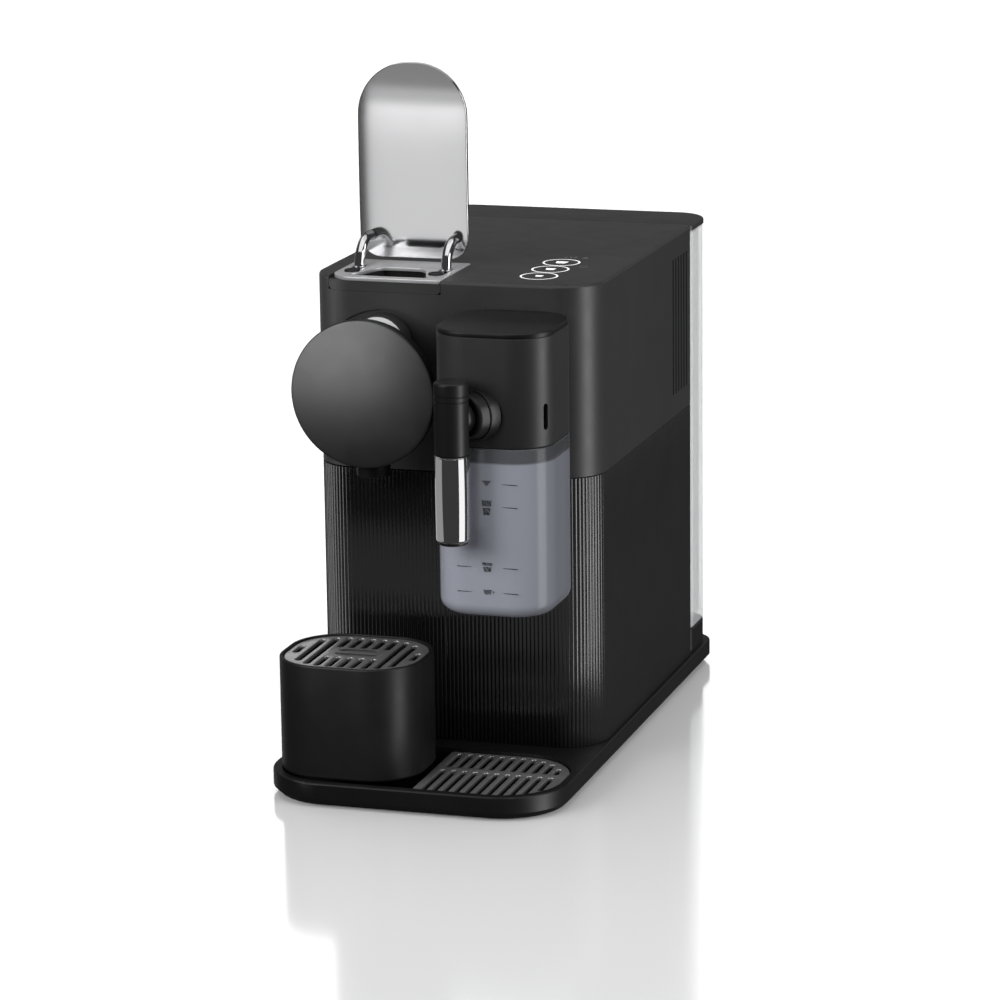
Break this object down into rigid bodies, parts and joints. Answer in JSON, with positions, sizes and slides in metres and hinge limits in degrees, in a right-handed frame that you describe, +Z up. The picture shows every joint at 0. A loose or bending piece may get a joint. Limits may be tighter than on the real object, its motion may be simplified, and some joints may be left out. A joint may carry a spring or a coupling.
{
  "type": "pod coffee machine",
  "caption": "Capsule coffee machine with a flip-up steel lever, pull-out capsule drawer with cup stand, plug-in milk jug with swivel spout and a rear water tank.",
  "frame": {"origin": "on the supporting surface, under the middle of the base", "axes": "+Z up; the front with the milk jug and the disc faces -Y; X runs to the right seen from the front"},
  "size_m": [0.154, 0.324, 0.352],
  "materials": {
    "matt_black": "fine matt moulding",
    "gloss_black": "glossy ribbed moulding",
    "satin_black": "satin moulding",
    "chrome": "polished",
    "steel": "satin",
    "jar_plastic": "smoky blue translucent",
    "tank_plastic": "clear",
    "ring_light": "white light guide",
    "inner_plastic": "plain moulding",
    "rubber": "soft",
    "hose": "silicone",
    "heater_block": "cast",
    "pump_body": "moulded over steel",
    "board": "circuit board"
  },
  "bodies": {
    "machine": {"base_tray": "satin_black", "rubber_feet": "rubber", "base_screws": "steel", "lower_housing": "gloss_black", "upper_housing": "matt_black", "touch_rings": "ring_light", "capsule_plate": "steel", "capsule_fascia": "matt_black", "lever_bumpers": "satin_black", "brew_frame": "inner_plastic", "lever_bushes": "inner_plastic", "capsule_chute": "inner_plastic", "extraction_plate": "steel", "brew_neck": "matt_black", "chrome_collar": "chrome", "front_disc": "matt_black", "coffee_nozzle": "satin_black", "drawer_bay": "inner_plastic", "steam_connector": "chrome", "tank_dock": "satin_black", "valve_seat": "inner_plastic", "chassis": "inner_plastic", "pump": "pump_body", "pump_mounts": "rubber", "pump_bracket": "inner_plastic", "thermoblock": "heater_block", "flow_meter": "inner_plastic", "control_board": "board", "cord_gland": "satin_black", "inlet_hose": "hose", "pressure_hose": "hose"},
    "lever": {"lever_plate": "chrome", "lever_arms": "chrome", "lever_shaft": "chrome"},
    "piston": {"brew_piston": "inner_plastic", "piston_seal": "rubber"},
    "drawer": {"drawer_front": "gloss_black", "capsule_bin": "inner_plastic", "cup_support": "matt_black"},
    "cup_rack": {"cup_grille": "steel"},
    "drip_rack": {"drip_grille": "steel"},
    "milk_head": {"head_shell": "matt_black", "head_cap": "matt_black", "head_plug": "inner_plastic", "milk_tube": "hose", "milk_mixer": "inner_plastic"},
    "jar": {"milk_jar": "jar_plastic"},
    "spout": {"spout_upper": "matt_black", "spout_sleeve": "chrome", "spout_tip": "satin_black"},
    "tank": {"water_tank": "tank_plastic", "tank_valve": "inner_plastic"},
    "lid": {"tank_lid": "matt_black"}
  },
  "joints": [
    {"name": "lever_hinge", "type": "hinge", "parent": "machine", "child": "lever", "pos_m": [-0.0346, -0.0312, 0.245], "axis": [1, 0, 0], "range_deg": [0, 90]},
    {"name": "piston_slide", "type": "slide", "parent": "machine", "child": "piston", "axis": [0, -1, 0], "range_m": [0, 0.026]},
    {"name": "drawer_slide", "type": "slide", "parent": "machine", "child": "drawer", "axis": [0, -1, 0], "range_m": [0, 0.11]},
    {"name": "cup_rack_lift", "type": "slide", "parent": "drawer", "child": "cup_rack", "axis": [0, 0, 1], "range_m": [0, 0.05]},
    {"name": "drip_rack_lift", "type": "slide", "parent": "machine", "child": "drip_rack", "axis": [0, 0, 1], "range_m": [0, 0.05]},
    {"name": "milk_head_slide", "type": "slide", "parent": "machine", "child": "milk_head", "axis": [0, -1, 0], "range_m": [0, 0.1]},
    {"name": "jar_pull", "type": "slide", "parent": "milk_head", "child": "jar", "axis": [0, 0, -1], "range_m": [0, 0.078]},
    {"name": "spout_swivel", "type": "hinge", "parent": "milk_head", "child": "spout", "pos_m": [0.033, -0.134, 0.197], "axis": [-0.4695, -0.8829, 0], "range_deg": [-60, 60]},
    {"name": "tank_lift", "type": "slide", "parent": "machine", "child": "tank", "axis": [0, 0, 1], "range_m": [0, 0.24]},
    {"name": "tank_lid_hinge", "type": "hinge", "parent": "tank", "child": "lid", "pos_m": [0, 0.1586, 0.2485], "axis": [-1, 0, 0], "range_deg": [0, 95]}
  ],
  "couplings": [
    {"joint": "piston_slide", "follows": "lever_hinge", "m_per_rad": 0.016536}
  ]
}
